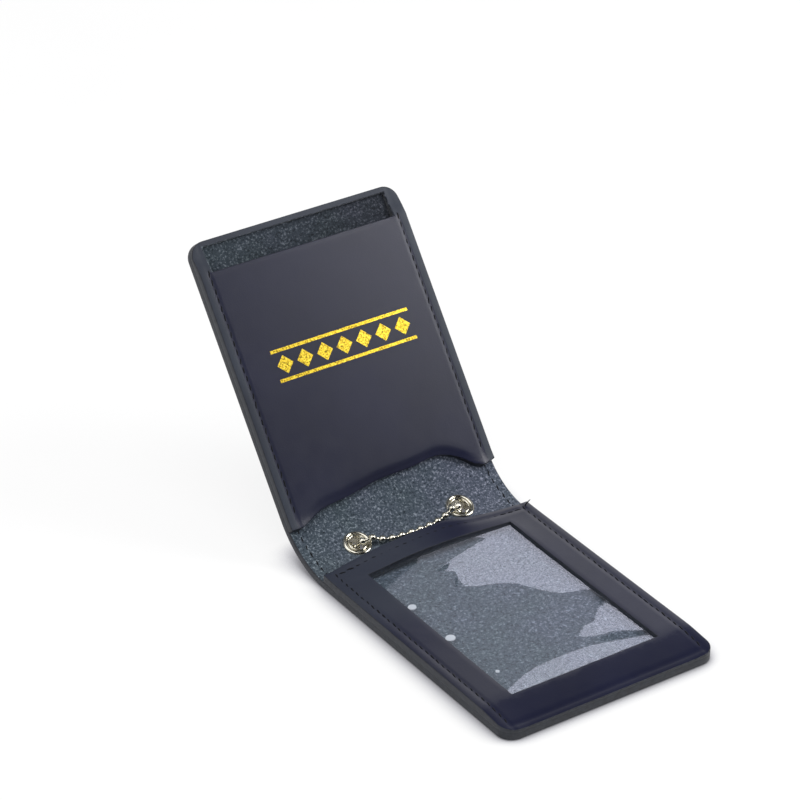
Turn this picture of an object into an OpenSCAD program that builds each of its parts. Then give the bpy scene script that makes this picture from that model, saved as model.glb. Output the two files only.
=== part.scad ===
// Bifold badge wallet, standing open. One strip of hide is the cover: it lies flat under
// the window pocket, bends through a soft spine and leans back behind the card pocket.
// Two eyelets in the spine carry a ball chain, whose length is coiled behind the wallet.
// X runs across the hide, Y from the free end of the window half towards the spine, Z up.
// The origin is the middle of the window half's underside.

/* [Hide] */
// Width across the hide
wallet_w = 75; // [72:0.5:90]
// Length of the window half, from its free end to the spine
lower_len = 94.5; // [90:0.5:110]
// Length of the pocket half, from the spine to its free end
upper_len = 88; // [80:0.2:105]
// Thickness of the cover hide
cover_t = 2.6; // [2.2:0.1:3]
// Thickness of the smooth inner leather
panel_t = 2.4; // [2.2:0.1:3]
// Radius of the outer corners
corner_r = 5; // [3:0.5:8]

/* [Spine] */
// Radius inside the spine as the wallet stands
spine_r = 27; // [25:0.5:30]
// Turn of the spine as the wallet stands, in degrees
spine_turn = 52.5; // [48:0.5:56]
// Length of the soft crease beside the window half
lower_crease = 5; // [4.6:0.1:5.4]
// Length of the stiff band between the creases, which holds the eyelets
band_len = 9.6; // [9.4:0.1:10]
// Length of the soft crease beside the pocket half
upper_crease = 4; // [3.6:0.1:4.4]

/* [Window pocket] */
// Leather beside the window
window_side = 11.4; // [9:0.1:14]
// Leather between the free end and the window
window_end = 13.6; // [12:0.2:15]
// Leather between the window and the pocket's mouth
mouth_len = 7.1; // [6.5:0.1:9]
// Width of the sewn seam on three sides
seam_w = 5.5; // [5:0.1:6]
// Height of the card space
card_gap = 0.9; // [0.8:0.05:1]
// Thickness of the clear film
film_t = 0.3; // [0.2:0.05:0.35]
// How far the film is glued under the leather beyond the window
film_lap = 3; // [2:0.5:4]
// Rise of the pocket's mouth at its middle
mouth_rise = 4; // [2.5:0.1:4.5]

/* [Card pocket] */
// Leather beside the card slot near the free end
slot_side = 4.5; // [4:0.1:8]
// Height of the card slot
slot_h = 8.2; // [5:0.1:9]
// Leather between the slot and the free end
slot_rim = 1.8; // [1.6:0.1:4]
// Depth of the scoop in the edge by the spine
scoop_depth = 7.4; // [4:0.1:8]

/* [Eyelets] */
// Distance between the eyelets' centres
eyelet_gap = 37.8; // [34:0.2:42]
// Hole through an eyelet
eyelet_hole = 5; // [4.6:0.1:5.2]
// Width over an eyelet's flange
eyelet_w = 9.2; // [8.8:0.1:9.4]
// Height of the rolled flange
flange_h = 0.9; // [0.7:0.05:1]
// Wall of the barrel
barrel_t = 0.4; // [0.3:0.05:0.5]
// Thickness of the washer behind the hide
washer_t = 0.5; // [0.4:0.05:0.6]

/* [Ball chain] */
// Diameter of a bead
bead_d = 2.4; // [2.2:0.1:2.4]
// Distance between bead centres
bead_pitch = 3.36; // [3.1:0.02:3.6]
// Diameter of the wire between beads
wire_d = 0.8; // [0.6:0.1:1]
// Diameter of the connector that joins the chain's ends
clasp_d = 3; // [2.8:0.1:3]

/* [Thread] */
// Distance of the seam's line from the leather's edge
stitch_inset = 3; // [2.5:0.1:3.2]
// Distance from one stitch to the next
stitch_pitch = 2.8; // [2.4:0.1:3.4]
// Length of a stitch on the surface
stitch_len = 2.1; // [1.8:0.1:2.3]
// Width of the thread
thread_w = 0.7; // [0.5:0.05:0.9]
// Height of the thread above the leather
thread_t = 0.3; // [0.2:0.05:0.4]

/* [Hidden] */
$fn = 64;

cover_colour = "#262b3a";
suede_colour = "#55626e";
panel_colour = "#3a3c4a";
frame_colour = "#343947";
film_colour = "#9aa2b4";
thread_colour = "#171b26";
nickel_colour = "#c9c6bb";
tie_colour = "#2a2c33";

// Cuts run past the faces that they open by this much, and fitted holes are this much wider
overrun = 1;
fit_gap = 0.05;

// The spine line, where the window half ends and the spine begins
fold_y = lower_len / 2;
free_y = -lower_len / 2;
spine_len = spine_r * spine_turn * PI / 180;
outer_r = spine_r + cover_t;
band_start = lower_crease;
band_end = lower_crease + band_len;
crease_end = band_end + upper_crease;
band_turn = turn_at((band_start + band_end) / 2);
round_steps = 12;
panel_steps = 8;
panel_lap = (spine_len - crease_end) * panel_steps / round_steps;
function turn_at(along) = along / spine_r * 180 / PI;

// The window half
pocket_w = wallet_w - 2 * seam_w;
relief_t = card_gap + film_t;
window_w = wallet_w - 2 * window_side;
window_len = lower_len - window_end - mouth_len;
window_rise_share = 0.62;
mouth_columns = 16;
mouth_rows = 3;

// The card pocket: its scoop runs from seam to seam
slot_w = wallet_w - 2 * slot_side;
scoop_half = pocket_w / 2;
scoop_r = (scoop_half * scoop_half + scoop_depth * scoop_depth) / (2 * scoop_depth);

// The eyelets: the washer is let into the round of the hide
barrel_d = eyelet_hole + 2 * barrel_t;
flange_w = (eyelet_w - eyelet_hole) / 2;
flange_r = (flange_w * flange_w / 4 + flange_h * flange_h) / (2 * flange_h);
washer_seat = outer_r - sqrt(outer_r * outer_r - eyelet_w * eyelet_w / 4);

// The chain's run over the front, as [across, towards the pocket half, above the suede]
front_route = [[-18.9, 0, -1.3], [-18.9, 0, -0.7], [-18.6, -0.1, 0], [-17.8, -0.2, 1.1], [-16.5, -0.4, 2.1],
               [-14.9, -0.7, 2.3], [-13.1, -1.2, 1.9], [-11, -1.9, 1.4], [-8, -2.5, 1.3],
               [-4, -2.7, 1.3], [0, -2.8, 1.3], [4, -2.8, 1.3], [8, -2.5, 1.3],
               [11, -1.9, 1.4], [13.1, -1.2, 1.9], [14.9, -0.7, 2.3], [16.5, -0.4, 2.1],
               [17.8, -0.2, 1.1], [18.6, -0.1, 0], [18.9, 0, -0.7], [18.9, 0, -1.3]];
// The leads over the floor, measured from the spine line, as [across, back, up]
lead_left_route = [[-18.9, 11.5, 2.2], [-18.9, 12.8, 1.5], [-18.8, 15, 1.25], [-18, 19, 1.25],
                   [-15.6, 22.6, 1.25], [-12, 25.4, 1.25], [-9.2, 27.8, 1.35],
                   [-7.71, 30.2, 1.5], [-7.4, 32.6, 1.5]];
lead_right_route = [[18.9, 11.5, 2.2], [18.9, 12.8, 1.5], [19, 15, 1.25], [19.6, 20, 1.25],
                    [21.4, 27, 1.25], [24.2, 34, 1.3], [27.2, 41, 1.5], [29, 46, 1.7],
                    [29.4, 48.6, 1.75], [29.4, 51, 1.75]];
// The coil's tail down to the connector, from the top of the coil
tail_route = [[-5.4, 51, 4.65], [-5.5, 48.6, 4.1], [-5.7, 45.8, 2.6], [-5.99, 43.4, 1.5],
              [-6.3, 41, 1.5]];
coil_middle = [12, 53.4, 0];
coil_r = 17.4;
coil_step = 2.9;
coil_turns = 5.5;
coil_floor = 0.55;
rings_per_turn = 24;
coil_sides = 6;
lead_sides = 8;
bead_sides = 10;
bead_rings = 6;
climb_share = 0.25;

// The tie lies round the coil's bundle on its far side
tie_t = 0.5;
tie_w = 2.5;
tie_gap = 0.3;
tie_turn_share = 0.25;

function unit(v) = v / norm(v);
function sum_to(list, i) = i < 0 ? 0 : list[i] + sum_to(list, i - 1);
function steps(points) = [for (i = [1 : len(points) - 1]) norm(points[i] - points[i - 1])];
function route_len(points) = sum_to(steps(points), len(points) - 2);

// The point of a route that lies that far along it
function along_route(points, far, i = 1) =
    let (here = norm(points[i] - points[i - 1]))
    far <= here || i == len(points) - 1
        ? points[i - 1] + (points[i] - points[i - 1]) * far / here
        : along_route(points, far - here, i + 1);

// The direction of a route at one of its points
function heading(points, i) =
    unit(points[min(i + 1, len(points) - 1)] - points[max(i - 1, 0)]);

function ring(middle, ahead, aside, radius, sides) =
    let (u = unit(aside - (aside * ahead) * ahead), v = cross(ahead, u))
    [for (k = [0 : sides - 1])
        middle + radius * (cos((k + 0.5) * 360 / sides) * u + sin((k + 0.5) * 360 / sides) * v)];

// A closed skin over rings, each given as its middle, its direction and its radius
module skin(stations, sides, aside) {
    last = len(stations) - 1;
    corners = [for (s = stations) each ring(s[0], s[1], aside, s[2], sides)];
    walls = [for (i = [0 : last - 1]) for (k = [0 : sides - 1])
        let (a = i * sides + k, b = i * sides + (k + 1) % sides)
        each [[a, b + sides, b], [a, a + sides, b + sides]]];
    ends = concat([[for (k = [0 : sides - 1]) k]],
                  [[for (k = [0 : sides - 1]) last * sides + sides - 1 - k]]);
    polyhedron(corners, concat(walls, ends), convexity = 4);
}

// A closed tube with one ring at each point of the route
module tube(points, diameter, sides, aside) {
    skin([for (i = [0 : len(points) - 1]) [points[i], heading(points, i), diameter / 2]],
         sides, aside);
}

// The coil: turns spiral in over the floor, climb, and spiral out on top
function coil_point(turn) =
    let (half = coil_turns / 2,
         radius = coil_r - coil_step * min(turn, coil_turns - turn),
         climb = min(1, max(0, (turn - half + climb_share) / (2 * climb_share))),
         ease = climb * climb * (3 - 2 * climb))
    coil_middle + [radius * cos(360 * turn), radius * sin(360 * turn),
                   coil_floor + bead_d / 2 + coil_step * ease];
coil_rings = coil_turns * rings_per_turn;
coil_path = [for (i = [0 : coil_rings]) coil_point(i / rings_per_turn)];
half_turn = rings_per_turn / 2;
coil_gap = min([for (i = [0 : coil_rings - half_turn]) for (j = [i + half_turn : coil_rings])
    norm(coil_path[i] - coil_path[j])]) - bead_d;
lead_end = lead_right_route[len(lead_right_route) - 1];
coil_whole = concat([lead_end], coil_path, tail_route);
clasp_from = lead_left_route[len(lead_left_route) - 1];
clasp_to = tail_route[len(tail_route) - 1];

// Where the chain passes through the middle of an eyelet, from the spine line
function hole_middle(side) =
    [side * eyelet_gap / 2,
     outer_r * sin(band_turn) - cover_t / 2 * sin(band_turn),
     outer_r * (1 - cos(band_turn)) + cover_t / 2 * cos(band_turn)];
hole_way = [0, sin(band_turn), -cos(band_turn)];
hole_step = 0.4;
function lead_path(side, route) =
    concat([hole_middle(side), hole_middle(side) + hole_step * hole_way], route);

echo(coil_least_gap = coil_gap);
echo(chain_length = route_len(front_route) + route_len(lead_path(-1, lead_left_route))
    + route_len(lead_path(1, lead_right_route)) + route_len(coil_whole)
    + norm(clasp_to - clasp_from));

// A half of the hide from above: its free end, with the round corners, is at y = 0
module half_outline(long) {
    translate([-wallet_w / 2, corner_r])
        square([wallet_w, long - corner_r]);
    translate([corner_r - wallet_w / 2, 0])
        square([wallet_w - 2 * corner_r, corner_r]);
    for (side = [-1, 1])
        translate([side * (wallet_w / 2 - corner_r), corner_r])
            circle(r = corner_r);
}

// A stretch of the spine, from one distance along it to another
module spine_arc(from, to) {
    translate([-wallet_w / 2, fold_y, outer_r])
        rotate([90, 0, 90])
            rotate([0, 0, turn_at(from) - 90])
                rotate_extrude(angle = turn_at(to - from), $fn = 180)
                    translate([spine_r, 0])
                        square([cover_t, wallet_w]);
}

// Places on the spine and on the pocket half: z = 0 is the hide's outer face
module on_turn(turn) {
    translate([0, fold_y + outer_r * sin(turn), outer_r * (1 - cos(turn))])
        rotate([turn, 0, 0])
            children();
}
module on_band() {
    on_turn(band_turn) children();
}
module on_upper() {
    on_turn(spine_turn) children();
}
module from_free_end() {
    translate([0, upper_len, 0]) mirror([0, 1, 0]) children();
}
module at_each_eyelet() {
    for (side = [-1, 1])
        translate([side * eyelet_gap / 2, 0, 0])
            children();
}

module cover_lower() {
    color(cover_colour)
        translate([0, free_y, 0])
            linear_extrude(cover_t)
                half_outline(lower_len);
}

module crease_lower() {
    color(suede_colour) spine_arc(0, band_start);
}

module cover_band() {
    color(suede_colour)
        difference() {
            spine_arc(band_start, band_end);
            on_band() at_each_eyelet() {
                translate([0, 0, -overrun])
                    cylinder(h = cover_t + 2 * overrun, d = barrel_d + 2 * fit_gap);
                translate([0, 0, cover_t])
                    cylinder(h = overrun, d = eyelet_w + 2 * fit_gap);
                translate([0, 0, washer_seat - overrun])
                    cylinder(h = overrun, d = eyelet_w + 2 * fit_gap);
            }
        }
}

module crease_upper() {
    color(suede_colour) spine_arc(band_end, crease_end);
}

// A layer of the pocket half, between two heights above the hide's outer face: its last steps of
// the spine's round and a length of its flat, inside the half's outline
module upper_layer(last_steps, low, high, long) {
    start = turn_at(crease_end);
    turns = [for (i = [round_steps - last_steps : round_steps])
        start + (spine_turn - start) * i / round_steps];
    ahead = long * [cos(spine_turn), sin(spine_turn)];
    function round_point(height, turn) = (outer_r - height) * [sin(turn), -cos(turn)];
    intersection() {
        translate([-wallet_w / 2, fold_y, outer_r])
            rotate([90, 0, 90])
                linear_extrude(wallet_w)
                    polygon(concat([for (t = turns) round_point(low, t)],
                                   [round_point(low, spine_turn) + ahead,
                                    round_point(high, spine_turn) + ahead],
                                   [for (i = [0 : last_steps])
                                       round_point(high, turns[last_steps - i])]));
        on_upper() from_free_end()
            translate([0, 0, -overrun])
                linear_extrude(high + 3 * overrun)
                    half_outline(upper_len + spine_len);
    }
}

module cover_upper() {
    color(cover_colour) upper_layer(round_steps, 0, cover_t, upper_len);
}

// Rise of the mouth at a place across it and a share of the way from the window to its edge
function mouth_height(across, share) =
    mouth_rise * (window_rise_share + (1 - window_rise_share) * share)
    * pow(cos(90 * across / (pocket_w / 2)), 2);

// The strip between the window and the pocket's mouth, which stands open in an arch
module mouth_strip() {
    columns = mouth_columns + 1;
    spots = [for (face = [relief_t, panel_t]) for (j = [0 : mouth_rows]) for (i = [0 : mouth_columns])
        let (across = pocket_w * (i / mouth_columns - 0.5), share = j / mouth_rows)
        [across, mouth_len * share, face + mouth_height(across, share)]];
    top = columns * (mouth_rows + 1);
    function spot(face, j, i) = face * top + j * columns + i;
    function quad(a, b, c, d) = [[a, b, c], [a, c, d]];
    faces = concat(
        [for (j = [0 : mouth_rows - 1]) for (i = [0 : mouth_columns - 1])
            each quad(spot(1, j, i), spot(1, j + 1, i), spot(1, j + 1, i + 1), spot(1, j, i + 1))],
        [for (j = [0 : mouth_rows - 1]) for (i = [0 : mouth_columns - 1])
            each quad(spot(0, j, i), spot(0, j, i + 1), spot(0, j + 1, i + 1), spot(0, j + 1, i))],
        [for (i = [0 : mouth_columns - 1])
            each quad(spot(0, 0, i), spot(1, 0, i), spot(1, 0, i + 1), spot(0, 0, i + 1))],
        [for (i = [0 : mouth_columns - 1])
            each quad(spot(0, mouth_rows, i), spot(0, mouth_rows, i + 1),
                      spot(1, mouth_rows, i + 1), spot(1, mouth_rows, i))],
        [for (j = [0 : mouth_rows - 1])
            each quad(spot(0, j, 0), spot(0, j + 1, 0), spot(1, j + 1, 0), spot(1, j, 0))],
        [for (j = [0 : mouth_rows - 1])
            each quad(spot(0, j, mouth_columns), spot(1, j, mouth_columns),
                      spot(1, j + 1, mouth_columns), spot(0, j + 1, mouth_columns))]);
    polyhedron(spots, faces, convexity = 4);
}

module window_frame() {
    color(frame_colour)
        translate([0, free_y, cover_t]) {
            difference() {
                linear_extrude(panel_t)
                    half_outline(lower_len - mouth_len);
                translate([-window_w / 2, window_end, -overrun])
                    cube([window_w, window_len + overrun, panel_t + 2 * overrun]);
                translate([-pocket_w / 2, seam_w, -overrun])
                    cube([pocket_w, lower_len, relief_t + overrun]);
            }
            translate([0, lower_len - mouth_len, 0]) {
                mouth_strip();
                for (side = [-1, 1])
                    translate([side * (wallet_w - seam_w) / 2 - seam_w / 2, 0, 0])
                        cube([seam_w, mouth_len, panel_t]);
            }
        }
}

module window_film() {
    color(film_colour)
        translate([-window_w / 2 - film_lap, free_y + window_end - film_lap, cover_t + card_gap])
            cube([window_w + 2 * film_lap, window_len + 2 * film_lap, film_t]);
}

module pocket_panel() {
    slot_from = upper_len - slot_rim - slot_h;
    color(panel_colour)
        difference() {
            upper_layer(panel_steps, cover_t, cover_t + panel_t, upper_len);
            on_upper() {
                translate([0, scoop_depth - panel_lap - scoop_r, cover_t - overrun])
                    cylinder(h = panel_t + 3 * overrun, r = scoop_r, $fn = 180);
                translate([-slot_w / 2, slot_from, cover_t - overrun])
                    cube([slot_w, slot_h, panel_t + 2 * overrun]);
            }
            intersection() {
                upper_layer(panel_steps + 1, cover_t - overrun, cover_t + card_gap,
                            slot_from + overrun);
                translate([-pocket_w / 2, 0, 0])
                    cube([pocket_w, 2 * wallet_w + lower_len, 2 * wallet_w]);
            }
        }
}

// Stitches in a row along y, from y = 0, lying on z = 0
module stitches(long) {
    count = floor(long / stitch_pitch);
    for (i = [0 : count - 1])
        translate([-thread_w / 2, (long - count * stitch_pitch + stitch_pitch - stitch_len) / 2
                   + i * stitch_pitch, 0])
            cube([thread_w, stitch_len, thread_t]);
}

module thread_lower() {
    across = wallet_w / 2 - stitch_inset;
    color(thread_colour)
        translate([0, free_y, cover_t + panel_t]) {
            for (side = [-1, 1])
                translate([side * across, corner_r, 0])
                    stitches(lower_len - corner_r - stitch_inset);
            translate([wallet_w / 2 - corner_r, stitch_inset, 0])
                rotate([0, 0, 90])
                    stitches(wallet_w - 2 * corner_r);
        }
}

// A line of stitches along the mouth, over its arch
module thread_mouth() {
    long = pocket_w - 2 * stitch_inset;
    count = floor(long / stitch_pitch);
    share = 1 - stitch_inset / mouth_len;
    color(thread_colour)
        translate([0, fold_y - stitch_inset, cover_t + panel_t])
            for (i = [0 : count - 1]) {
                across = (i + 0.5 - count / 2) * stitch_pitch;
                rise = mouth_height(across + stitch_len / 2, share)
                    - mouth_height(across - stitch_len / 2, share);
                translate([across, 0, mouth_height(across, share) + fit_gap])
                    rotate([0, -atan2(rise, stitch_len), 0])
                        translate([-stitch_len / 2, -thread_w / 2, 0])
                            cube([stitch_len, thread_w, thread_t]);
            }
}

module thread_band() {
    count = floor(band_len / stitch_pitch);
    color(thread_colour)
        for (side = [-1, 1], i = [0 : count - 1])
            on_turn(turn_at(band_start + band_len / 2 + (i + 0.5 - count / 2) * stitch_pitch))
                translate([side * (wallet_w / 2 - stitch_inset) - thread_w / 2, -stitch_len / 2,
                           cover_t + fit_gap])
                    cube([thread_w, stitch_len, thread_t]);
}

module thread_upper() {
    color(thread_colour)
        on_upper()
            for (side = [-1, 1], face = [cover_t + panel_t, -thread_t])
                translate([side * (wallet_w / 2 - stitch_inset), 0, face])
                    stitches(upper_len - corner_r);
}

// A rolled flange on the suede and a barrel through the hide
module eyelet(side) {
    color(nickel_colour)
        on_band()
            translate([side * eyelet_gap / 2, 0, 0])
                rotate_extrude() {
                    translate([eyelet_hole / 2, washer_seat - washer_t])
                        square([barrel_t, cover_t + barrel_t / 2 - washer_seat + washer_t]);
                    intersection() {
                        translate([(eyelet_hole + flange_w) / 2, cover_t + flange_h - flange_r])
                            circle(r = flange_r);
                        translate([eyelet_hole / 2, cover_t])
                            square([flange_w, flange_h]);
                    }
                }
}

module washer(side) {
    color(nickel_colour)
        on_band()
            translate([side * eyelet_gap / 2, 0, washer_seat - washer_t])
                difference() {
                    cylinder(h = washer_t, d = eyelet_w);
                    translate([0, 0, -overrun])
                        cylinder(h = washer_t + 2 * overrun, d = barrel_d + 2 * fit_gap);
                }
}

module eyelet_left() {
    eyelet(-1);
}
module eyelet_right() {
    eyelet(1);
}
module washer_left() {
    washer(-1);
}
module washer_right() {
    washer(1);
}

// The rings of one bead, from wire to wire
function bead(middle, way) =
    let (open = asin(wire_d / bead_d))
    [for (i = [0 : bead_rings])
        let (turn = open + (180 - 2 * open) * i / bead_rings)
        [middle - way * bead_d / 2 * cos(turn), way, bead_d / 2 * sin(turn)]];

// Beads on a wire, from the middle of one eyelet to the middle of the other
module chain_front() {
    long = route_len(front_route);
    count = round(long / bead_pitch);
    middles = [for (i = [0 : count - 1]) along_route(front_route, (i + 0.5) * long / count)];
    knots = concat([front_route[0]], middles, [front_route[len(front_route) - 1]]);
    color(nickel_colour)
        on_band()
            translate([0, 0, cover_t])
                skin(concat([[knots[0], heading(knots, 0), wire_d / 2]],
                            [for (i = [1 : count]) each bead(knots[i], heading(knots, i))],
                            [[knots[count + 1], heading(knots, count + 1), wire_d / 2]]),
                     bead_sides, [0, 1, 0]);
}

module chain_lead_left() {
    color(nickel_colour)
        translate([0, fold_y, 0])
            tube(lead_path(-1, lead_left_route), bead_d, lead_sides, [1, 0, 0]);
}

module chain_lead_right() {
    color(nickel_colour)
        translate([0, fold_y, 0])
            tube(lead_path(1, lead_right_route), bead_d, lead_sides, [1, 0, 0]);
}

module chain_coil() {
    color(nickel_colour)
        translate([0, fold_y, 0])
            tube(coil_whole, bead_d, coil_sides, [0, 0, 1]);
}

// A slit tube that snaps over the chain's two end beads
module chain_connector() {
    way = clasp_to - clasp_from;
    color(nickel_colour)
        translate([0, fold_y, 0])
            translate(clasp_from)
                rotate([0, 90, atan2(way.y, way.x)])
                    difference() {
                        cylinder(h = norm(way), d = clasp_d);
                        translate([-clasp_d / 2, 0, norm(way) / 2])
                            cube([clasp_d / 2, wire_d, norm(way) - 2 * wire_d], center = true);
                    }
}

// A band round all the turns of the coil
module coil_tie() {
    turns_in = floor(coil_turns / 2 - tie_turn_share) + tie_turn_share;
    inner_r = coil_r - coil_step * turns_in - bead_d / 2 - tie_gap;
    wide = coil_r - coil_step * tie_turn_share + bead_d / 2 + tie_gap - inner_r;
    high = coil_floor + bead_d + coil_step + tie_gap - tie_t;
    color(tie_colour)
        translate([coil_middle.x - tie_w / 2, fold_y + coil_middle.y + inner_r, tie_t])
            rotate([90, 0, 90])
                linear_extrude(tie_w)
                    difference() {
                        translate([-tie_t, -tie_t])
                            square([wide + 2 * tie_t, high + 2 * tie_t]);
                        square([wide, high]);
                    }
}

cover_lower();
crease_lower();
cover_band();
crease_upper();
cover_upper();
window_frame();
window_film();
pocket_panel();
thread_lower();
thread_mouth();
thread_band();
thread_upper();
eyelet_left();
eyelet_right();
washer_left();
washer_right();
chain_front();
chain_lead_left();
chain_lead_right();
chain_coil();
chain_connector();
coil_tie();
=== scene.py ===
"""Dresses the badge wallet's frame: hide, window leather, film, thread, eyelets and ball chain.

Pieces of leather are made flat, in hide coordinates: x across the hide, y along it from the
spine line (towards the pocket half), z up from the grain side. bend_to_hide then lays them on
the standing wallet.
"""

import math
import random
from functools import partial

import bmesh
import bpy
from bpy.props import FloatProperty, FloatVectorProperty, PointerProperty
from mathutils import Matrix, Vector


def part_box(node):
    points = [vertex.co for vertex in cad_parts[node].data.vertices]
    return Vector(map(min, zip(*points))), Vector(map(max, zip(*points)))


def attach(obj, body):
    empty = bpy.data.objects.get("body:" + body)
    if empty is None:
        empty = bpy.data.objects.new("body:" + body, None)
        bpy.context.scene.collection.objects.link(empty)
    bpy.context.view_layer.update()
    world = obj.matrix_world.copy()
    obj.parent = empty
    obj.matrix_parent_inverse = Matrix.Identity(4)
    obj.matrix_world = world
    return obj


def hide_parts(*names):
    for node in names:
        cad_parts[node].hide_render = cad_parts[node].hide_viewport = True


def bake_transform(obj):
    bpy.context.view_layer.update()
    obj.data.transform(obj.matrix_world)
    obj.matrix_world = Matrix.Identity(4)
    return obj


bl_info = {
    "name": "Badge wallet",
    "version": (1, 0, 0),
    "blender": (4, 5, 0),
    "location": "View3D > Sidebar > Badge wallet",
    "description": "Dresses the badge wallet's frame in leather, film, thread and nickel",
    "category": "Object",
}

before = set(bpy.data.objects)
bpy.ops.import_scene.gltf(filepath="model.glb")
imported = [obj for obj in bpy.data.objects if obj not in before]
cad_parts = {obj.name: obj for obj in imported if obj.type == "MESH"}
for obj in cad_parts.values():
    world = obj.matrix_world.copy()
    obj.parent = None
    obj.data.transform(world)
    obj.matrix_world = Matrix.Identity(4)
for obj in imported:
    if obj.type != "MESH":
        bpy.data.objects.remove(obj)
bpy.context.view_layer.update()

MM = 0.001
LOWER_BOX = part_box("cover_lower")
HIDE_W = LOWER_BOX[1][0] - LOWER_BOX[0][0]
LOWER_LEN = LOWER_BOX[1][1] - LOWER_BOX[0][1]
FOLD_Y = LOWER_BOX[1][1]
COVER_T = LOWER_BOX[1][2]
LEATHER_T = 2.4 * MM
TOP_T = COVER_T + LEATHER_T

# The spine as it stands, its creases and its stiff band, as distances along the hide
SPINE_R = 27 * MM
SPINE_TURN = math.radians(52.5)
SPINE_LEN = SPINE_R * SPINE_TURN
OUTER_R = SPINE_R + COVER_T
UPPER_LEN = 88 * MM
FREE_END = SPINE_LEN + UPPER_LEN
EYELET_ALONG = 9.8 * MM
EYELET_X = 18.9 * MM
PUNCH_R = 3 * MM

# The window and the card slot, and the seams with the grooves that they lie in
WINDOW_HALF = 26.1 * MM
WINDOW_FAR = -7.1 * MM
WINDOW_NEAR = -80.9 * MM
SLOT_HALF = 33 * MM
SLOT_NEAR = SPINE_LEN + 78 * MM
SLOT_FAR = SPINE_LEN + 86.2 * MM
STITCH_X = 34.4 * MM
NEAR_SEAM = -LOWER_LEN + 2.4 * MM
MOUTH_SEAM = -2.6 * MM
GROOVE = 0.7 * MM
SKIN = 0.2 * MM

# Distances between the lines that the sheets of leather are cut along, so that they can bend
COVER_STEP = 4 * MM
PANEL_STEP = 2.4 * MM
BEND_STEP = 1.2 * MM
LAP_STEP = 1.1 * MM

BEAD_D = 2.4 * MM
BEAD_PITCH = 3.36 * MM
WIRE_D = 0.8 * MM

# Rise of the window leather, in mm over (x mm, rise mm): at its mouth and at the window's edge
MOUTH_RISE = [
    (-37, 0.2), (-29, 1.4), (-20, 2.8), (-10, 3.6), (4, 4.2), (10, 3.6), (17, 1.9), (28, 0.5),
    (37, 0.1),
]
SILL_RISE = [
    (-29, 0.0), (-22, 0.4), (-14.5, 1.2), (-7, 1.7), (2, 1.8), (9, 1.6), (17, 1.0), (26, 0.3),
    (32, 0.0),
]
SILL_FADE = 24 * MM
# The pocket panel's edge at the spine, in mm over (x mm, distance past the spine's end in mm)
PANEL_LAP = 4.3 * MM
SCOOP = [
    (-37.5, -4.3), (-33.5, -4.3), (-29.3, -2.5), (-25.5, -0.8), (-21, -0.1), (-16, 0.3), (-10, 1.2),
    (-5, 2.0), (1, 2.3), (7.5, 2.4), (12, 2.7), (16, 3.2), (19.5, 3.0), (22.8, 2.0), (26.4, 0.0),
    (29.2, -2.5), (31.6, -4.6), (34, -4.7), (37.5, -3.9),
]
SCOOP_REACH = 30 * MM
LIP_DROP = 0.4 * MM
LIP_REACH = 4 * MM

# How far the smooth leather sinks at the free ends and in its seams
END_DROP = 1.7 * MM
RIM_DROP = 1.3 * MM
RIM_REACH = 6 * MM
WINDOW_PRESS = 0.16 * MM
POCKET_PRESS = 0.09 * MM

# Rounding of arrises: the smooth leather's outside, its openings and its underside, and the
# hide's where it lies under leather
OUTSIDE_ROUND = 0.95 * MM
OPENING_ROUND = 0.45 * MM
UNDER_ROUND = 0.1 * MM
COVERED_ROUND = 0.08 * MM

# The chain's routes in mm, as the frame's source has them: the front's from the band between the
# eyelets, where it sags up to 0.7 mm further than there, and the others from the fold
FRONT_ROUTE = [
    (-18.9, 0, -1.3), (-18.9, 0, -0.7), (-18.6, -0.2, 0), (-17.8, -0.4, 1.1), (-16.5, -0.7, 2.1),
    (-14.9, -1.1, 2.3), (-13.1, -1.7, 1.9), (-11, -2.5, 1.4), (-8, -3.1, 1.3), (-4, -3.4, 1.3),
    (0, -3.5, 1.3), (4, -3.4, 1.3), (8, -3, 1.3), (11, -2.3, 1.4), (13.1, -1.5, 1.9),
    (14.9, -0.9, 2.3), (16.5, -0.6, 2.1), (17.8, -0.3, 1.1), (18.6, -0.2, 0), (18.9, 0, -0.7),
    (18.9, 0, -1.3),
]
LEAD_LEFT_ROUTE = [
    (-18.9, 11.5, 2.2), (-18.9, 12.8, 1.5), (-18.8, 15, 1.25), (-18, 19, 1.25), (-15.6, 22.6, 1.25),
    (-12, 25.4, 1.25), (-9.2, 27.8, 1.35), (-7.71, 30.2, 1.5), (-7.4, 32.6, 1.5),
]
LEAD_RIGHT_ROUTE = [
    (18.9, 11.5, 2.2), (18.9, 12.8, 1.5), (19, 15, 1.25), (19.6, 20, 1.25), (21.4, 27, 1.25),
    (24.2, 34, 1.3), (27.2, 41, 1.5), (29, 46, 1.7), (29.4, 48.6, 1.75), (29.4, 51, 1.75),
]
TAIL_ROUTE = [
    (-5.4, 51, 4.65), (-5.5, 48.6, 4.1), (-5.7, 45.8, 2.6), (-5.99, 43.4, 1.5), (-6.3, 41, 1.5),
]
COIL_MIDDLE = (12, 53.4)
COIL_R = 17.4
COIL_STEP = 2.9
COIL_TURNS = 5.5
COIL_FLOOR = 0.55
CLIMB_SHARE = 0.25
RINGS_PER_TURN = 24
BAND_TURN = EYELET_ALONG / SPINE_R

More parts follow.
